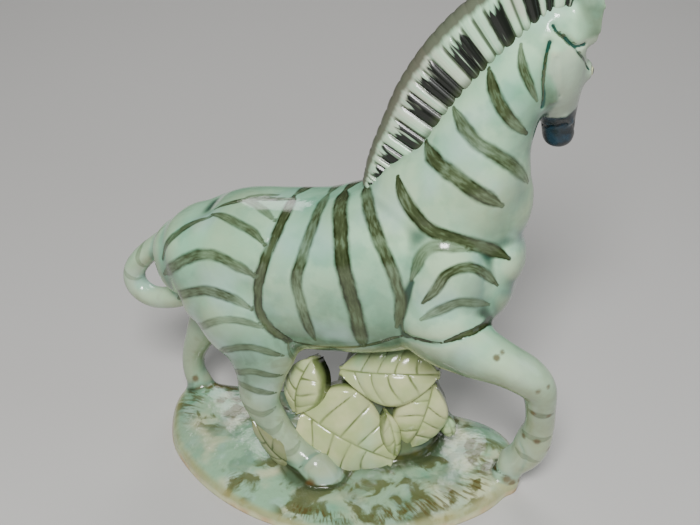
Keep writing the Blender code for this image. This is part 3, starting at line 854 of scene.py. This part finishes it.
# leaves
leaves = {
    # stem, tip, the way its face looks, width, share where it is widest, side veins, and any shade
    "blades": [
        ((-14, -20, 36), (-7, -14, 68), (-0.35, -1.0, 0.2), 24, 0.5, 3),
        ((-10, -21, 38), (38, -15, 15), (-0.05, -1.0, 0.4), 52, 0.35, 4),
        ((7, -11, 62), (57, -3, 66), (0.15, -1.0, 0.5), 35, 0.52, 4),
        ((54, -2, 58), (43, -7, 20), (0.5, -1.0, 0.15), 29, 0.5, 3),
        ((33, -13, 44), (38, -13, 16), (0.8, -1.0, 0.2), 11, 0.5, 2),
        ((59, 5, 36), (61, 8, 20), (0.9, -1.0, 0.3), 9, 0.5, 2),
        # the far side's two, and a shaded blade by the near hind hoof
        ((38, 32, 62), (2, 29, 48), (-0.1, 1.0, 0.3), 32, 0.4, 4),
        ((36, 29, 40), (4, 32, 14), (0.0, 1.0, 0.35), 34, 0.4, 4),
        ((-7, -31, 9), (-33, -32, 36), (-0.4, -1.0, 0.3), 17, 0.45, 2, 0.8),
    ],
    "thick": 6.5,
    "fold": 2.2,
    "puff": 0.4,  # how far the leaf swells between its veins
    "groove": 0.6,
}


def growLeaf(bm, stem, tip, out, width, widest, veins, shaded=0.0):
    shadeLayer = bm.verts.layers.float.get("shaded") or bm.verts.layers.float.new("shaded")
    veinLayer = bm.verts.layers.float.get("vein") or bm.verts.layers.float.new("vein")
    edgeLayer = bm.verts.layers.float.get("leafEdge") or bm.verts.layers.float.new("leafEdge")
    stem, tip, out = spot(stem), spot(tip), Vector(out).normalized()
    along = (tip - stem).normalized()
    out = (out - along * out.dot(along)).normalized()
    acrossWay = along.cross(out)
    length = (tip - stem).length / mm
    rows, columns = max(24, int(length * 1.6)), max(16, int(width * 1.5)) // 2 * 2
    grid = bmesh.ops.create_grid(bm, x_segments=rows, y_segments=columns, size=0.5)["verts"]
    faces = list({f for v in grid for f in v.link_faces})
    for vert in grid:
        u, v = vert.co.x + 0.5, vert.co.y * 2
        u += 0.1 * abs(v) * math.sin(math.pi * u)
        half = width / 2 * abs(math.sin(math.pi * u ** (math.log(0.5) / math.log(widest)))) ** 0.75
        half = max(half, width * 0.07)
        bow = leaves["thick"] * 0.9 * math.sin(math.pi * u) * (1 - v * v)
        fold = leaves["fold"] * abs(v) * (1 - u * 0.5)
        phase = (u - 0.3 * abs(v) ** 1.5 * (1 - u) + 0.03 * math.sin(7 * u + 2.5 * v + width)) * (veins + 1)
        phase += 0.35 * (v > 0)
        toSide = abs(phase - round(phase)) * length / (veins + 1) * 0.8
        toSide += 9 * (abs(v) > 0.93) + 9 * (round(phase) < 1) + 9 * (round(phase) > veins)
        toMid = abs(v) * half
        toVein = min(toSide, toMid)
        puff = leaves["puff"] * (1 - math.exp(-((toVein / 2.6) ** 2)) - 0.5)
        groove = leaves["groove"] * math.exp(-((toVein / 0.55) ** 2))
        droop = 2.6 * max(0, (abs(v) - 0.86) / 0.14) ** 2
        wave = 0.7 * math.sin(u * 11 + 2 * v) * v * v
        rise = bow + fold + puff - groove - droop + wave
        vert.co = stem + along * length * u * mm + acrossWay * half * v * mm + out * rise * mm
        vert[veinLayer] = toVein
        vert[edgeLayer] = (1 - abs(v)) * half
        vert[shadeLayer] = shaded
    back = bmesh.ops.extrude_face_region(bm, geom=faces, use_keep_orig=True)["geom"]
    verts = [v for v in back if isinstance(v, bmesh.types.BMVert)]
    bmesh.ops.translate(bm, verts=verts, vec=-out * leaves["thick"] * mm)


def makeLeaves():
    bm = bmesh.new()
    for leaf in leaves["blades"]:
        growLeaf(bm, *leaf)
    return toObject(bm, "leaves")


foliage = makeLeaves()
print("leaves made", len(foliage.data.polygons), "faces")


# glazes
gloss = {"Coat Weight": 0.35, "Coat Roughness": 0.06, "Specular IOR Level": 0.4}


class Wire:
    # a socket that sums can be written with

    def __init__(self, graph, socket):
        self.graph = graph
        self.socket = socket

    def sum(self, operation, *values):
        return self.graph.node("ShaderNodeMath", {"operation": operation}, dict(enumerate(values)))

    def __add__(self, other):
        return self.sum("ADD", self, other)

    __radd__ = __add__

    def __sub__(self, other):
        return self.sum("SUBTRACT", self, other)

    def __rsub__(self, other):
        return self.sum("SUBTRACT", other, self)

    def __mul__(self, other):
        return self.sum("MULTIPLY", self, other)

    __rmul__ = __mul__

    def clamp(self):
        return self.graph.node("ShaderNodeClamp", values={0: self})

    def step(self, low, high):
        # 0 below low and 1 above high, with a soft climb
        settings = {"interpolation_type": "SMOOTHSTEP"}
        return self.graph.node("ShaderNodeMapRange", settings, {0: self, 1: low, 2: high, 3: 0.0, 4: 1.0})


class Glaze:
    def __init__(self, name):
        self.material = bpy.data.materials.new(name)
        self.material.use_nodes = True
        self.tree = self.material.node_tree
        self.shader = self.tree.nodes["Principled BSDF"]
        self.place = self.node("ShaderNodeTexCoord", out="Object")

    def node(self, kind, settings=None, values=None, out=0):
        made = self.tree.nodes.new(kind)
        for key, value in (settings or {}).items():
            setattr(made, key, value)
        for key, value in (values or {}).items():
            self.put(made.inputs[key], value)
        return Wire(self, made.outputs[out])

    def put(self, socket, value):
        if isinstance(value, Wire):
            self.tree.links.new(value.socket, socket)
        else:
            socket.default_value = value

    def noise(self, scale, detail=2.0, place=None, warp=0.0):
        values = {"Vector": place or self.place, "Scale": scale, "Detail": detail, "Distortion": warp}
        return self.node("ShaderNodeTexNoise", values=values)

    def layer(self, name):
        return self.node("ShaderNodeAttribute", {"attribute_name": name}, out="Fac")

    def blend(self, amount, low, high):
        low, high = [(*c, 1) if isinstance(c, tuple) else c for c in (low, high)]
        return self.node("ShaderNodeMix", {"data_type": "RGBA"}, {0: amount, 6: low, 7: high}, out=2)

    def vector(self, x, y, z):
        return self.node("ShaderNodeCombineXYZ", values={0: x, 1: y, 2: z})

    def finish(self, colour, rough, bump=None, height=0.0002):
        self.put(self.shader.inputs["Base Color"], colour)
        self.put(self.shader.inputs["Roughness"], rough)
        for socket, value in gloss.items():
            self.shader.inputs[socket].default_value = value
        if bump is not None:
            values = {"Strength": 1.0, "Distance": height, "Height": bump}
            normal = self.node("ShaderNodeBump", values=values, out="Normal")
            self.put(self.shader.inputs["Normal"], normal)
        return self.material


glaze = {
    "pale": (0.46, 0.74, 0.48),
    "mint": (0.25, 0.56, 0.36),
    "cool": (0.42, 0.62, 0.56),
    "warm": (0.42, 0.47, 0.25),
    "teal": (0.012, 0.065, 0.045),
    "sea": (0.10, 0.33, 0.22),
    "moss": (0.035, 0.05, 0.02),
    "turf": (0.27, 0.46, 0.29),
    "leg": (0.15, 0.235, 0.165),
    # painted shade on the undersides, and dark mottling on the legs
    "underShadeAndMottle": (0.055, 0.08, 0.04),
    "stroke": (0.018, 0.027, 0.007),
    "strokeThin": (0.105, 0.14, 0.065),
    "olive": (0.085, 0.085, 0.018),
    "brown": (0.10, 0.05, 0.012),
    "navy": (0.0005, 0.003, 0.008),
    # painted highlights on the navy muzzle
    "navyHighlight": (0.004, 0.028, 0.055),
    "slate": (0.05, 0.10, 0.13),
    "cream": (0.56, 0.59, 0.36),
    "straw": (0.36, 0.33, 0.13),
    "clay": (0.52, 0.34, 0.18),
    "leaf": (0.40, 0.48, 0.20),
    "leafPale": (0.56, 0.58, 0.30),
    "leafDeep": (0.07, 0.11, 0.02),
    "maneWhite": (0.50, 0.56, 0.43),
    # painted shade for the mane's outer edge
    "rim": (0.085, 0.08, 0.055),
    "black": (0.006, 0.008, 0.005),
}


def strokeGlaze(g, colour):
    # brushed stripes: soft edges, darker borders and streaks along their run
    gap, across, along = g.layer("gapShare"), g.layer("across"), g.layer("along")
    off = gap + (g.noise(150, 4) - 0.5) * 0.5
    inside = 1 - off.step(0.6, 1.2)
    border = off.step(0.35, 0.85)
    streak = g.noise(1, 2, g.vector(along * 0.2, across * 2.6, 0.0)).step(0.25, 0.7)
    patch = g.noise(1, 1, g.vector(along * 0.07, 3.0, 0.0)).step(0.3, 0.62)
    strength = inside * g.layer("strong") * (0.85 + 0.25 * streak + 0.25 * patch)
    dark = border * 0.5 + streak * 0.35 + patch * 0.35 + g.layer("strong") - 0.8
    ink = g.blend(dark.clamp(), glaze["strokeThin"], glaze["stroke"])
    return g.blend(strength.clamp(), colour, ink)


def groundGlaze(g, glazePoolAndShade):
    # mint and cream with olive dabs, and short upright strokes towards the edge
    share, around = g.layer("edgeShare"), g.layer("roundEdge")
    turf = g.blend(g.noise(34, 4, warp=0.3).step(0.42, 0.62), glaze["turf"], glaze["cream"])
    turf = g.blend(g.noise(30, 3).step(0.46, 0.64) * 0.6, turf, glaze["sea"])
    turf = g.blend(g.noise(90, 2).step(0.45, 0.7) * 0.3, turf, glaze["cool"])
    dabs = g.noise(80, 5, warp=0.5).step(0.49, 0.59) * (g.noise(19, 1) + share * 0.08).step(0.44, 0.56)
    hatch = g.noise(1, 3, g.vector(around * 0.55, share * 9, 0.0)).step(0.47, 0.6)
    band = share.step(0.76, 0.84) * (1 - share.step(0.9, 0.97)) * g.noise(23, 2).step(0.44, 0.56)
    turf = g.blend(g.noise(48, 5, warp=0.6).step(0.55, 0.63) * 0.35, turf, glaze["teal"])
    turf = g.blend(dabs * 0.85, turf, glaze["olive"])
    turf = g.blend(hatch * band * 0.75, turf, g.blend(g.noise(70, 1), glaze["olive"], glaze["brown"]))
    rim = share.step(0.93, 0.985)
    turf = g.blend(rim * 0.75, turf, g.blend(g.noise(50, 3).step(0.4, 0.65), glaze["straw"], glaze["warm"]))
    # pooled glaze and painted shade in the ground's hollows
    return g.blend(glazePoolAndShade.step(0.06, 0.6) * 0.85, turf, glaze["moss"])


def bodyGlaze():
    g = Glaze("zebraGlaze")
    glazePoolAndShade = g.layer("glazePoolAndShade")
    tilt = g.layer("tilt")
    height = g.node("ShaderNodeSeparateXYZ", values={0: g.place}, out="Z")
    colour = g.blend(g.noise(24, 3).step(0.4, 0.64) * 0.8, glaze["pale"], glaze["mint"])
    colour = g.blend(g.noise(70, 4).step(0.46, 0.62) * 0.35, colour, glaze["sea"])
    # darker teal where the body faces up, and painted shade where it faces down
    colour = g.blend(tilt.step(0.6, 1.0) * 0.35, colour, glaze["sea"])
    colour = g.blend((0 - tilt).step(-0.45, 0.45) * 0.88, colour, glaze["underShadeAndMottle"])
    legs = 1 - (height + (g.noise(30, 2) - 0.5) * 0.03).step(0.055, 0.112)
    colour = g.blend(legs * (0.55 + 0.4 * g.noise(60, 3).step(0.4, 0.6)), colour, glaze["leg"])
    colour = g.blend(legs * g.noise(95, 4, warp=0.5).step(0.52, 0.66) * 0.5, colour, glaze["underShadeAndMottle"])
    colour = g.blend(g.noise(15, 2).step(0.5, 0.7) * 0.4, colour, glaze["warm"])
    colour = g.blend(g.noise(34, 2).step(0.48, 0.72) * 0.5, colour, glaze["cool"])
    colour = g.blend(g.noise(240, 2).step(0.4, 0.75) * 0.15, colour, glaze["mint"])
    colour = g.blend(g.layer("face") * 0.55, colour, glaze["maneWhite"])
    # slate on the places that face forward, on the chest and up the neck
    frontSlate = g.layer("frontSlate") * g.noise(42, 3).step(0.35, 0.6)
    colour = g.blend(frontSlate * 0.45, colour, glaze["slate"])
    thin = (0 - glazePoolAndShade).step(0.15, 0.8)
    colour = g.blend(thin * 0.35, colour, glaze["cream"])
    # pooled glaze and painted shade in the hollows, moss low down and teal higher
    pooledGlazeAndShade = g.blend(height.step(0.07, 0.17), glaze["moss"], glaze["teal"])
    colour = g.blend(glazePoolAndShade.step(0.02, 0.4), colour, pooledGlazeAndShade)
    colour = strokeGlaze(g, colour)
    dab = (g.layer("dab") + (g.noise(180, 2) - 0.5) * 0.6).step(0.15, 0.75)
    colour = g.blend(dab * 0.8, colour, glaze["brown"])
    muzzle = (g.layer("muzzle") + (g.noise(160, 2) - 0.5) * 0.5).step(0.0, 0.35)
    # the lighter blue patches on the navy muzzle are painted highlights
    navy = g.blend(g.noise(110, 3).step(0.45, 0.65), glaze["navy"], glaze["navyHighlight"])
    colour = g.blend(muzzle * 0.97, colour, navy)
    hoof = (g.layer("hoof") + (g.noise(190, 2) - 0.5) * 0.4).step(0.1, 0.6)
    colour = g.blend(hoof * 0.35, colour, glaze["olive"])
    eye = g.layer("eye")
    iris = g.blend(eye.step(0.42, 0.5), glaze["cream"], glaze["black"])
    colour = g.blend(eye.step(0.0, 0.1), colour, g.blend(eye.step(0.14, 0.24), glaze["moss"], iris))
    stump = g.layer("stump").step(0.0, 0.3)
    bark = g.blend(g.noise(110, 3).step(0.35, 0.6), glaze["moss"], glaze["olive"])
    colour = g.blend(stump * 0.8, colour, bark)
    onGround = 1 - (g.layer("aboveGround") + (g.noise(120, 2) - 0.5) * 1.2).step(0.8, 2.2)
    colour = g.blend(onGround, colour, groundGlaze(g, glazePoolAndShade))
    # unglazed foot
    foot = 1 - (height + (g.noise(90, 2) - 0.5) * 0.0025).step(0.0012, 0.0042)
    colour = g.blend(foot, colour, g.blend(g.noise(60, 2).step(0.35, 0.65), glaze["clay"], glaze["cream"]))
    g.put(g.shader.inputs["Coat Weight"], gloss["Coat Weight"] - muzzle * 0.3 - foot * 0.3)
    rough = 0.12 + foot * 0.6 + muzzle * 0.12 + g.noise(300, 2) * 0.06
    relief = g.noise(220, 2) + g.noise(45, 2) * 2 + onGround * g.noise(130, 3) * 6
    return g.finish(colour, rough, relief, 0.00022)


def maneGlaze():
    g = Glaze("maneGlaze")
    at, rise = g.layer("alongMane"), g.layer("rise")
    hair = g.noise(1, 2, g.vector(at * 0.55, rise * 1.1, 0.0))
    ragged = g.noise(1, 3, g.vector(at * 0.3, rise * 2, 0.0)) - 0.5
    tone = g.blend(g.noise(45, 2).step(0.35, 0.65), glaze["maneWhite"], glaze["pale"])
    tone = g.blend(hair.step(0.42, 0.7) * 0.45, tone, glaze["mint"])
    grooves = 1 - (g.layer("groove") + (hair - 0.5) * 0.3).step(0.05, 0.42)
    onSide = 1 - rise.step(0.76, 0.86)
    colour = g.blend(grooves * onSide * 0.9, tone, glaze["moss"])
    edge = g.layer("block") + (g.noise(1, 2, g.vector(at * 0.8, rise * 6, 0.0)) - 0.5) * 3
    painted = edge.step(-1.2, 0.2) * (1 - (rise + (hair - 0.5) * 0.35 + ragged * 0.5).step(0.66, 0.74))
    painted = painted * (0.35 + 0.65 * hair.step(0.3, 0.42)).clamp()
    colour = g.blend(painted, colour, glaze["black"])
    # painted shade on the mane's rounded outer edge
    colour = g.blend((rise + ragged * 0.1).step(0.8, 0.89) * 0.92, colour, glaze["rim"])
    colour = g.blend((1 - rise.step(0.2, 0.36)) * 0.8, colour, glaze["moss"])
    return g.finish(colour, 0.26 + hair * 0.15)


def leafGlaze():
    g = Glaze("leafGlaze")
    vein, edge = g.layer("vein"), g.layer("leafEdge")
    tone = g.blend(g.noise(60, 3).step(0.35, 0.68), glaze["leaf"], glaze["leafPale"])
    tone = g.blend(g.noise(32, 2).step(0.5, 0.72) * 0.55, tone, glaze["mint"])
    tone = g.blend(g.noise(26, 2).step(0.5, 0.7) * 0.7, tone, glaze["warm"])
    shade = (1 - vein.step(0.2, 5)) * g.noise(40, 2).step(0.35, 0.6)
    tone = g.blend(shade * 0.4, tone, glaze["warm"])
    line = 1 - (vein + (g.noise(200, 2) - 0.5) * 0.5).step(0.1, 0.7)
    line = line * (0.25 + 0.75 * edge.step(1.5, 7)) * (0.5 + 0.5 * g.noise(60, 1).step(0.35, 0.6))
    colour = g.blend(line * 0.85, tone, glaze["leafDeep"])
    rim = 1 - (edge + (g.noise(150, 2) - 0.5) * 1.2).step(-0.2, 1.4)
    colour = g.blend(rim * 0.85, colour, glaze["leafDeep"])
    colour = g.blend(g.layer("shaded") * 0.75, colour, glaze["moss"])
    return g.finish(colour, 0.15 + g.noise(260, 2) * 0.05, g.noise(200, 2), 0.00015)


for piece, material in ((zebra, bodyGlaze()), (crest, maneGlaze()), (foliage, leafGlaze())):
    for face in piece.data.polygons:
        face.use_smooth = True
    piece.data.materials.clear()
    piece.data.materials.append(material)
    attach(piece, "root")
    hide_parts("zebra_figurine")
print("glazes mixed")

# floor, light and camera
studio = {
    "azimuth": 20,
    "elevation": 30,
    "away": 0.56,
    "lookAt": (0.0075, 0.017, 0.115),
    "lens": 58.06,
    "floor": (0.56, 0.55, 0.53),
    "floorDark": (0.53, 0.52, 0.5),
    "world": (0.75, 0.78, 0.8, 1),
    "worldPower": 0.045,
    # place, size, power and colour
    "lights": {
        "key": ((0.25, -0.9, 1.05), (0.4, 0.4), 26, (1, 1, 1)),
        "fill": ((1.2, 0.1, 0.6), (0.6, 0.9), 2, (0.75, 0.88, 1)),
        "back": ((-0.4, 1.1, 1.1), (1.0, 0.7), 9, (1, 1, 1)),
    },
    "lightsAimAt": (0, 0, 0.12),
}


def makeFloor():
    bm = bmesh.new()
    bmesh.ops.create_grid(bm, x_segments=1, y_segments=1, size=4)
    floor = toObject(bm, "floor")
    g = Glaze("floorPaint")
    g.put(g.shader.inputs["Base Color"], g.blend(g.noise(3, 2), studio["floor"], studio["floorDark"]))
    g.shader.inputs["Roughness"].default_value = 0.8
    floor.data.materials.append(g.material)


def addLight(name, place, size, power, colour):
    light = bpy.data.lights.new(name, "AREA")
    light.shape = "RECTANGLE"
    light.size, light.size_y = size
    light.energy = power
    light.color = colour
    lamp = bpy.data.objects.new(name, light)
    lamp.location = place
    lamp.rotation_mode = "QUATERNION"
    lamp.rotation_quaternion = (Vector(studio["lightsAimAt"]) - Vector(place)).to_track_quat("-Z", "Y")
    bpy.context.scene.collection.objects.link(lamp)


def placeCamera():
    turn, tilt = math.radians(studio["azimuth"]), math.radians(studio["elevation"])
    back = Vector((math.sin(turn) * math.cos(tilt), -math.cos(turn) * math.cos(tilt), math.sin(tilt)))
    lens = bpy.data.cameras.new("camera")
    lens.lens, lens.sensor_width = studio["lens"], 36
    lens.clip_start, lens.clip_end = 0.01, 20
    camera = bpy.data.objects.new("camera", lens)
    camera.location = Vector(studio["lookAt"]) + back * studio["away"]
    camera.rotation_mode = "QUATERNION"
    camera.rotation_quaternion = (-back).to_track_quat("-Z", "Y")
    bpy.context.scene.collection.objects.link(camera)
    bpy.context.scene.camera = camera


makeFloor()
for name, values in studio["lights"].items():
    addLight(name, *values)
placeCamera()
world = bpy.data.worlds.new("studio")
world.use_nodes = True
background = world.node_tree.nodes["Background"]
background.inputs["Color"].default_value = studio["world"]
background.inputs["Strength"].default_value = studio["worldPower"]
bpy.context.scene.world = world

print("scene ready")
